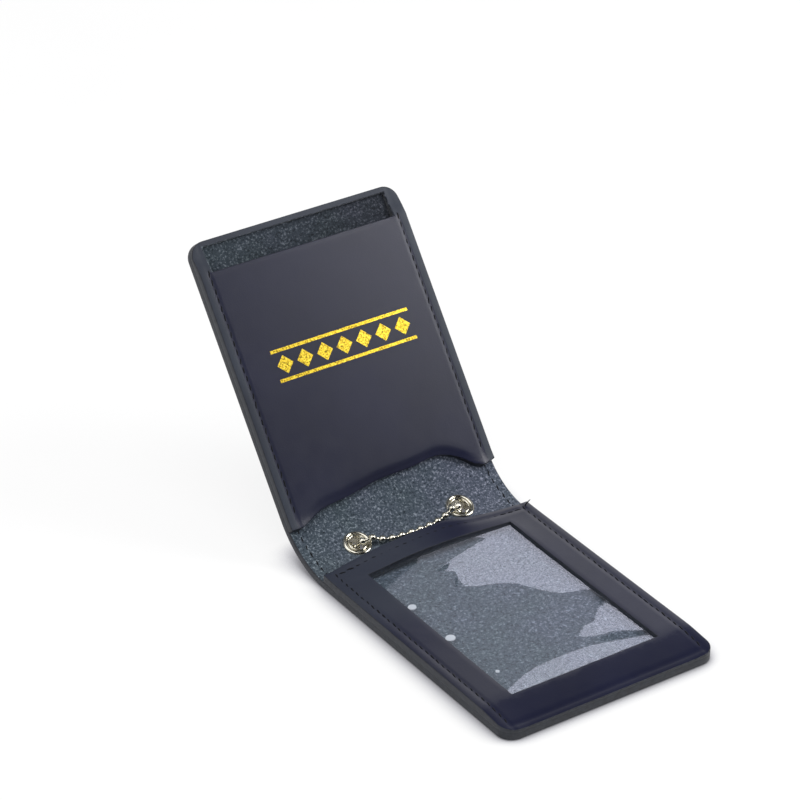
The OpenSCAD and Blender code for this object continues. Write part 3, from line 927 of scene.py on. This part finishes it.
class WALLET_OT_chain(bpy.types.Operator):
    """Ball chain over the front, its leads, its stored coil, its connector and the coil's band"""

    bl_idname = "wallet.chain"
    bl_label = "Ball chain"

    def execute(self, context):
        fine, plain = bead_mesh(20, 12), bead_mesh(12, 8)
        front = smooth_route(from_band(FRONT_ROUTE))
        left = smooth_route(lead_points(-1, LEAD_LEFT_ROUTE))
        right = smooth_route(lead_points(1, LEAD_RIGHT_ROUTE))
        worn = left[::-1] + front[1:-1] + right
        stored = coil_points()
        middle = route_length(left) + route_length(front) / 2
        over = chain_piece("ball_chain_worn", worn, fine, middle)
        coil = chain_piece("ball_chain_coil", stored, plain, 0.0)
        for template in (fine, plain):
            bpy.data.objects.remove(template)
        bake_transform(over)
        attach(coil, "lower")
        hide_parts("chain_front", "chain_lead_left", "chain_lead_right")
        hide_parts("chain_coil")
        clasp, band = self.clasp(), self.band()
        return {"FINISHED"}

    def clasp(self):
        """The slit tube that snaps over the chain's two end beads"""
        start, end = from_fold([LEAD_LEFT_ROUTE[-1], TAIL_ROUTE[-1]])
        long, radius, wall = (end - start).length, 1.5 * MM, 0.55 * MM
        piece = primitive(
            "chain_clasp", bpy.ops.mesh.primitive_cylinder_add,
            vertices=32, radius=radius, depth=long,
        )
        open_mesh(piece)
        pick(piece, "FACE", lambda p: abs(p.z) > long * 0.49)
        bpy.ops.mesh.inset(thickness=wall)
        bpy.ops.mesh.extrude_region_shrink_fatten(TRANSFORM_OT_shrink_fatten={"value": -0.8 * MM})
        close_mesh()
        slit = primitive("slit", bpy.ops.mesh.primitive_cube_add, size=1, location=(-radius, 0, 0))
        slit.scale = (radius * 1.2, 0.7 * MM, long - 1.4 * MM)
        bake_place(slit)
        subtract(piece, slit)
        soften(piece, 0.16 * MM, 50)
        turned = turned_to((end - start).normalized())
        piece.data.transform(Matrix.Translation((start + end) / 2) @ turned)
        piece.data.materials.append(material(nickel_plate))
        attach(piece, "lower")
        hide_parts("chain_connector")
        return piece

    def band(self):
        """The band round all the turns of the coil"""
        low, high = (Vector(v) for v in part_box("coil_tie"))
        thick, near = 0.5 * MM, 1e-6
        piece = primitive("coil_band", bpy.ops.mesh.primitive_cube_add, size=1)
        piece.scale = high - low
        piece.location = (low + high) / 2
        bake_place(piece)
        open_mesh(piece)
        pick(piece, "EDGE", lambda p: abs(p.x - (low.x + high.x) / 2) < near)
        bpy.ops.mesh.bevel(offset=1.3 * MM, segments=6, affect="EDGES")
        pick(piece, "FACE", lambda p: min(abs(p.x - low.x), abs(p.x - high.x)) < near)
        bpy.ops.mesh.inset(thickness=thick)
        bpy.ops.mesh.bridge_edge_loops()
        close_mesh()
        soften(piece, 0.14 * MM, 60)
        piece.data.materials.append(material(charcoal_rubber))
        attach(piece, "lower")
        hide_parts("coil_tie")
        return piece


# The leather


class WALLET_OT_hide(bpy.types.Operator):
    """The cover: one strip of hide, cut under the eyelets into its two lengths"""

    bl_idname = "wallet.hide"
    bl_label = "Cover hide"

    def execute(self, context):
        edge_round = context.scene.wallet_sizes.edge_round
        sheet = flat_sheet("hide_window_half", -LOWER_LEN, FREE_END, True, True)
        along = spread(-LOWER_LEN, 0, COVER_STEP) + spread(-0.1 * MM, SPINE_LEN, BEND_STEP)
        along += [SPINE_LEN] + spread(SPINE_LEN, FREE_END, COVER_STEP)
        cut_lines(sheet, spread(-HIDE_W / 2, HIDE_W / 2, COVER_STEP), along)

        def rounding(place):
            covered = place.y < -1 * MM or place.y > SPINE_LEN - 3 * MM
            return COVERED_ROUND if place.z > COVER_T / 2 and covered else edge_round

        thicken(sheet, COVER_T, 0, rounding)
        for side in (-1, 1):
            punch = primitive(
                "punch", bpy.ops.mesh.primitive_cylinder_add,
                vertices=40, radius=PUNCH_R, depth=12 * MM,
                location=(side * EYELET_X, EYELET_ALONG, COVER_T / 2),
            )
            subtract(sheet, punch)
        activate(sheet)
        bpy.ops.object.duplicate()
        other = bpy.context.object
        other.name = other.data.name = "hide_pocket_half"
        for piece, clear in ((sheet, {"clear_outer": True}), (other, {"clear_inner": True})):
            open_mesh(piece)
            bpy.ops.mesh.bisect(
                plane_co=(0, EYELET_ALONG, 0), plane_no=(0, 1, 0), threshold=1e-6,
                use_fill=True, **clear,
            )
            close_mesh()
            suede, grain = material(suede_nap, "suede_flesh"), material(corrected_grain, "navy_grain")
            finish_faces(piece, suede, grain)
            bend_to_hide(piece)
            shade_smooth(piece, 50)
        blend_front(sheet)
        blend_back(other)
        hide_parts("cover_lower", "crease_lower", "cover_band")
        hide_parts("cover_upper", "crease_upper")
        return {"FINISHED"}


class WALLET_OT_window_leather(bpy.types.Operator):
    """The smooth leather frame round the window, arched up at the pocket's mouth"""

    bl_idname = "wallet.window_leather"
    bl_label = "Window leather"

    def execute(self, context):
        lines = [WINDOW_NEAR, WINDOW_FAR] + seam_lines(MOUTH_SEAM) + seam_lines(NEAR_SEAM)
        piece = panel(
            "window_leather", -LOWER_LEN, 0, (WINDOW_HALF, WINDOW_NEAR, WINDOW_FAR),
            spread(-LOWER_LEN, 0, PANEL_STEP, lines),
        )
        for v in piece.data.vertices:
            x, along, up = v.co
            v.co.z += mouth_lift(x, along) - end_drop(x, along) * share_up(up)
            if up > TOP_T - SKIN:
                v.co.z -= seam_press(x, along)
        bend_to_hide(piece)
        shade_smooth(piece, 50)
        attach(piece, "lower")
        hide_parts("window_frame")
        return {"FINISHED"}


class WALLET_OT_pocket(bpy.types.Operator):
    """The smooth leather panel of the card pocket, scooped at the spine, with its card slot"""

    bl_idname = "wallet.pocket"
    bl_label = "Pocket panel"

    def execute(self, context):
        near = SPINE_LEN - PANEL_LAP
        along = spread(near, SPINE_LEN, LAP_STEP) + [SPINE_LEN]
        along += spread(SPINE_LEN, FREE_END, PANEL_STEP, [SLOT_NEAR, SLOT_FAR])
        opening = (SLOT_HALF, SLOT_NEAR, SLOT_FAR)
        piece = panel("pocket_leather", near, FREE_END, opening, along)
        self.skive(piece)
        for v in piece.data.vertices:
            x, along, up = v.co
            from_edge = along - near
            scoop = curve_through(SCOOP, x / MM) * MM + PANEL_LAP
            v.co.y += scoop * max(0.0, 1 - from_edge / SCOOP_REACH)
            v.co.z -= rim_drop(along) * share_up(up)
            if up > TOP_T - SKIN:
                v.co.z -= POCKET_PRESS * max(0.0, 1 - abs(abs(x) - STITCH_X) / GROOVE)
                thinned = 1 - smooth(from_edge / LIP_REACH)
                v.co.z -= LIP_DROP * thinned * min(1.0, scoop / (2 * MM))
        bend_to_hide(piece)
        shade_smooth(piece, 50)
        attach(piece, "upper")
        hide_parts("pocket_panel")
        return {"FINISHED"}

    def skive(self, piece):
        """Bare suede on the walls of the card slot, and a rubbed margin round the panel"""
        for finish in (material(suede_nap, "suede_flesh"), material(corrected_grain, "navy_skived")):
            piece.data.materials.append(finish)
        for face in piece.data.polygons:
            x, along = abs(face.center.x), face.center.y
            walls = x < SLOT_HALF + 0.5 * MM and along < FREE_END - 1 * MM
            if along > SLOT_NEAR + 0.1 * MM and walls:
                face.material_index = 3
            elif face.material_index == 0 and (along > SLOT_NEAR or x > STITCH_X + GROOVE):
                face.material_index = 4


# The film


def inside(outline, x, y):
    """Whether a place lies inside an outline."""
    hit = False
    for (ax, ay), (bx, by) in zip(outline, outline[1:] + outline[:1]):
        if (ay > y) != (by > y) and x < ax + (y - ay) / (by - ay) * (bx - ax):
            hit = not hit
    return hit


def film_profile(across):
    """Heights of the film along one line of sight, from the frame to its place under the arch."""
    spots, falls = [], []
    end = 0.0
    for i in range(int(FILM_REACH / FILM_STEP)):
        place = BESIDE * across + AWAY * (i * FILM_STEP - FILM_REACH)
        if abs(place.x) < WINDOW_HALF and WINDOW_NEAR < place.y < WINDOW_FAR:
            x, y = place / MM
            spots.append(i)
            here = [slope for outline, slope in zip(FILM_FALLS, FILM_SLOPES) if inside(outline, x, y)]
            falls.append(here[0] if here else 0.0)
            end = 0.8 * mouth_lift(place.x, place.y)
    if not spots:
        return 0, [0.0]
    rise = (end / FILM_STEP + sum(falls)) / max(1, falls.count(0.0))
    heights, height = [], 0.0
    for falling in falls:
        height += FILM_STEP * (-falling if falling else rise)
        heights.append(height)
    return spots[0], heights


def film_height(place, lines):
    """The film's height at a place, between the two nearest lines of sight."""
    row = place.dot(BESIDE) / FILM_STEP
    step = (place.dot(AWAY) + FILM_REACH) / FILM_STEP
    low = math.floor(row)
    height = 0.0
    for line, share in ((low, 1 - row + low), (low + 1, row - low)):
        if line not in lines:
            lines[line] = film_profile(line * FILM_STEP)
        first, heights = lines[line]
        at = min(max(step - first, 0.0), len(heights) - 1.001)
        i = max(0, math.floor(at))
        after = heights[min(i + 1, len(heights) - 1)]
        height += share * (heights[i] + (after - heights[i]) * (at - i))
    return height


class WALLET_OT_film(bpy.types.Operator):
    """The clear film glued under the window's edges, lying in soft waves"""

    bl_idname = "wallet.film"
    bl_label = "Window film"

    def execute(self, context):
        piece = primitive(
            "window_sheet", bpy.ops.mesh.primitive_grid_add,
            x_subdivisions=112, y_subdivisions=154, size=1,
        )
        near, far = WINDOW_NEAR - FILM_LAP, WINDOW_FAR + FILM_LAP
        piece.scale = (2 * (WINDOW_HALF + FILM_LAP), far - near, 1)
        piece.location = (0, (near + far) / 2, 0)
        bake_place(piece)
        lines = {}
        for v in piece.data.vertices:
            v.co.z = FILM_TOP + film_height(v.co.xy, lines)
        apply_modifier(piece, "SMOOTH", factor=0.5, iterations=3)
        apply_modifier(piece, "SOLIDIFY", thickness=FILM_T, offset=-1.0)
        bend_to_hide(piece)
        piece.data.shade_smooth()
        piece.data.materials.append(material(clear_pvc))
        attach(piece, "lower")
        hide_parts("window_film")
        return {"FINISHED"}


# The thread


def stitch_template():
    """One stitch of twisted thread, 2.3 mm long, its ends dipping into their holes."""
    made = primitive(
        "stitch_template", bpy.ops.mesh.primitive_uv_sphere_add,
        segments=8, ring_count=7, radius=1,
    )
    made.rotation_euler = (math.pi / 2, 0, 0)
    made.scale = (0.27 * MM, 0.24 * MM, 1.16 * MM)
    bake_place(made)
    for v in made.data.vertices:
        v.co.x += 0.07 * MM * math.sin(v.co.y / MM * 2.4)
    return made


def stitch_run(whole, template, start, end, height, pitch):
    """Copies of the stitch along a straight line in the flat hide, at a height given by place."""
    start, end = Vector(start), Vector(end)
    way = (end - start).normalized()
    side = Vector((way.y, -way.x))
    count = int((end - start).length / pitch)
    margin = ((end - start).length - count * pitch) / 2
    hand = random.Random(round((start.x + 3 * end.x + 5 * start.y) / MM))
    for i in range(count):
        lean, long, aside, deep = (hand.uniform(-1, 1) for _ in range(4))
        middle = start + way * (margin + pitch * (i + 0.5)) + side * 0.12 * MM * aside

        def sewn(point):
            run = point.y * (0.94 + 0.14 * long)
            flat = middle + way * run + side * (point.x + (0.09 + 0.1 * lean) * run)
            above = height(flat.x, flat.y) - 0.05 * MM * (1 + deep)
            return Vector((flat.x, flat.y, above + point.z))

        add_copy(whole, template, sewn)


def loose_end(whole, template, place):
    """A cut end of thread standing up from its hole."""

    def lifted(point):
        run = point.y + 1 * MM
        bend = 0.3 * run * run / MM
        return place + Vector((point.x + 0.25 * run + bend, point.z, 0.85 * run))

    add_copy(whole, template, lifted)


def on_window(x, along):
    """Height of a seam on the window leather, sunk deeper at the arch and at the free end."""
    sunk = 0.14 * MM
    if along > WINDOW_FAR:
        sunk += 0.16 * MM * (1 - smooth((abs(x) - 20 * MM) / (9 * MM)))
    elif along < NEAR_SEAM + 0.8 * MM:
        sunk += 0.24 * MM
    return TOP_T + mouth_lift(x, along) - end_drop(x, along) - sunk


def on_suede(x, along):
    return COVER_T - 0.02 * MM


def on_pocket(x, along):
    return TOP_T - rim_drop(along) - 0.1 * MM


def on_back(x, along):
    return 0.15 * MM


class WALLET_OT_thread(bpy.types.Operator):
    """The seams: side seams on both faces, the seam at the free end and the one at the mouth"""

    bl_idname = "wallet.thread"
    bl_label = "Thread"

    def execute(self, context):
        pitch = context.scene.wallet_sizes.stitch_pitch
        template = stitch_template()
        front, back = [], []
        for side in (-STITCH_X, STITCH_X):
            front += [
                ((side, NEAR_SEAM), (side, 0), on_window),
                ((side, 1 * MM), (side, EYELET_ALONG), on_suede),
                ((side, 1 * MM), (side, EYELET_ALONG), on_back),
            ]
            back += [
                ((side, EYELET_ALONG), (side, SPINE_LEN), on_suede),
                ((side, SPINE_LEN + 0.6 * MM), (side, SLOT_NEAR + 1 * MM), on_pocket),
                ((side, EYELET_ALONG), (side, FREE_END - 3 * MM), on_back),
            ]
        for seam in (NEAR_SEAM, MOUTH_SEAM):
            front.append(((-STITCH_X, seam), (STITCH_X, seam), on_window))
        whole = bmesh.new()
        end = Vector((STITCH_X + 1 * MM, MOUTH_SEAM + 0.6 * MM, TOP_T))
        loose_end(whole, template, end)
        piece = self.sew("thread_front", whole, template, front, pitch)
        blend_front(piece)
        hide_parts("thread_lower", "thread_mouth", "thread_band")
        piece = self.sew("thread_back", bmesh.new(), template, back, pitch)
        blend_back(piece)
        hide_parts("thread_upper")
        bpy.data.objects.remove(template)
        return {"FINISHED"}

    def sew(self, name, whole, template, runs, pitch):
        for start, end, height in runs:
            stitch_run(whole, template, start, end, height, pitch)
        piece = piece_from(name, whole)
        bend_to_hide(piece)
        piece.data.shade_smooth()
        piece.data.materials.append(material(bonded_thread))
        return piece


# The eyelets and the foil


class WALLET_OT_eyelets(bpy.types.Operator):
    """Two nickel eyelets: a rolled flange on the suede, the barrel and the washer behind"""

    bl_idname = "wallet.eyelets"
    bl_label = "Eyelets"

    def execute(self, context):
        for side, word in ((-1, "left"), (1, "right")):
            self.eyelet(side, word)
        return {"FINISHED"}

    def half_section(self):
        """From the washer's outside, through the barrel, over the rolled flange, in mm"""
        hole, barrel, wide = 2.5, 2.95, 4.6
        back, flange = -0.14, 2.5
        section = [(hole, back - 0.05), (hole, flange + 0.1)]
        for low, high, tall in ((hole, 3.1, 0.62), (3.3, wide, 0.72)):
            for i in range(9):
                angle = math.pi - math.pi * i / 8
                x = (low + high) / 2 + (high - low) / 2 * math.cos(angle)
                section.append((x, flange + 0.22 + tall * math.sin(angle)))
        return section + [
            (wide - 0.25, flange + 0.02), (barrel, flange), (barrel, back + 0.5),
            (wide - 0.1, back + 0.5), (wide, back + 0.38), (wide, back + 0.1), (wide - 0.12, back),
            (hole + 0.5, back), (hole + 0.2, back - 0.05),
        ]

    def eyelet(self, side, word):
        name = "eyelet_ring_" + word
        ring = bpy.data.meshes.new(name)
        profile = [Vector((x * MM, 0, z * MM)) for x, z in self.half_section()]
        count = len(profile)
        ring.from_pydata(profile, [(i, (i + 1) % count) for i in range(count)], [])
        piece = bpy.data.objects.new(name, ring)
        bpy.context.scene.collection.objects.link(piece)
        open_mesh(piece)
        bpy.ops.mesh.spin(
            steps=48, angle=math.tau, center=(0, 0, 0), axis=(0, 0, 1), use_auto_merge=True
        )
        bpy.ops.mesh.select_all(action="SELECT")
        bpy.ops.mesh.remove_doubles(threshold=1e-6)
        bpy.ops.mesh.normals_make_consistent(inside=False)
        close_mesh()
        base = hide_point(side * EYELET_X, EYELET_ALONG, 0)
        piece.data.transform(Matrix.Translation(base) @ Matrix.Rotation(BAND_TURN, 4, "X"))
        shade_smooth(piece, 35)
        piece.data.materials.append(material(nickel_plate))
        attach(piece, "band")
        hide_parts("eyelet_" + word, "washer_" + word)


class WALLET_OT_foil(bpy.types.Operator):
    """A plain foil ornament on the pocket panel: lozenges between two rules"""

    bl_idname = "wallet.foil"
    bl_label = "Foil ornament"

    def execute(self, context):
        whole = bmesh.new()
        middle = Vector((1 * MM, SPINE_LEN + 44.6 * MM, TOP_T + 0.02 * MM))
        half, tall, rule, count = 25 * MM, 4.6 * MM, 0.5 * MM, 7
        step = 2 * half / count
        wide, high = step * 0.40, 2.9 * MM

        def shape(points):
            whole.faces.new([whole.verts.new(middle + Vector((x, y, 0))) for x, y in points])

        for level in (-tall, tall):
            low, top = level - rule, level + rule
            shape([(-half, low), (half, low), (half, top), (-half, top)])
        for i in range(count):
            x = -half + step * (i + 0.5)
            shape([(x - wide, 0), (x, -high), (x + wide, 0), (x, high)])
        piece = piece_from("foil_ornament", whole)
        apply_modifier(piece, "SOLIDIFY", thickness=0.03 * MM, offset=1.0)
        bend_to_hide(piece)
        piece.data.materials.append(material(gold_foil))
        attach(piece, "upper")
        return {"FINISHED"}


# The add-on


class WalletSizes(bpy.types.PropertyGroup):
    """Sizes that a user may change"""

    corner: FloatProperty(
        name="Corner radius", description="Radius of the wallet's outer corners",
        default=5 * MM, unit="LENGTH",
    )
    edge_round: FloatProperty(
        name="Edge rounding", description="How far the cut edges of the cover are rounded",
        default=0.55 * MM, unit="LENGTH",
    )
    stitch_pitch: FloatProperty(
        name="Stitch pitch", description="Distance from one stitch to the next",
        default=2.8 * MM, unit="LENGTH",
    )


class WalletLooks(bpy.types.PropertyGroup):
    """Colours of the trimmings, and light on the stage"""

    foil: FloatVectorProperty(
        name="Foil", description="Middle colour of the foil ornament", size=4,
        default=linear("#d8b82c"), subtype="COLOR",
    )
    thread: FloatVectorProperty(
        name="Thread", description="Pale side of the sewing thread", size=4,
        default=linear("#13151c"), subtype="COLOR",
    )
    band: FloatVectorProperty(
        name="Coil band", description="Dark side of the rubber band", size=4,
        default=linear("#1b1c20"), subtype="COLOR",
    )
    overhead: FloatProperty(
        name="Overhead lamp", description="Brightness of the large lamp overhead, where 1 is white",
        default=1.75,
    )
    low_back: FloatProperty(
        name="Low lamp", description="Brightness of the low lamp behind the wallet", default=1.45,
    )
    front_right: FloatProperty(
        name="Front lamp", description="Brightness of the lamp in front on the right", default=11.5,
    )
    left: FloatProperty(
        name="Left lamp", description="Brightness of the lamp on the left", default=0.85,
    )
    world_light: FloatProperty(
        name="Room light", description="Strength of the light that the room gives", default=0.45,
    )
    ceiling: FloatProperty(
        name="Ceiling", description="Brightness of the ceiling in mirror-like surfaces",
        default=0.1,
    )


class WALLET_PT_panel(bpy.types.Panel):
    """The wallet's pieces, one button each"""

    bl_label = "Badge wallet"
    bl_space_type = "VIEW_3D"
    bl_region_type = "UI"
    bl_category = "Badge wallet"

    def draw(self, context):
        for operator in OPERATORS:
            self.layout.operator(operator.bl_idname)


OPERATORS = (
    WALLET_OT_stage,
    WALLET_OT_chain,
    WALLET_OT_hide,
    WALLET_OT_window_leather,
    WALLET_OT_film,
    WALLET_OT_pocket,
    WALLET_OT_thread,
    WALLET_OT_eyelets,
    WALLET_OT_foil,
)
CLASSES = (WalletSizes, WalletLooks, *OPERATORS, WALLET_PT_panel)


def register():
    for entry in CLASSES:
        bpy.utils.register_class(entry)
    bpy.types.Scene.wallet_sizes = PointerProperty(type=WalletSizes)
    bpy.types.Scene.wallet_looks = PointerProperty(type=WalletLooks)


def unregister():
    del bpy.types.Scene.wallet_sizes
    del bpy.types.Scene.wallet_looks
    for entry in reversed(CLASSES):
        bpy.utils.unregister_class(entry)


def main():
    register()
    for operator in OPERATORS:
        group, name = operator.bl_idname.split(".")
        if getattr(getattr(bpy.ops, group), name)() != {"FINISHED"}:
            raise RuntimeError(operator.bl_label + " didn't finish")


if __name__ == "__main__":
    main()
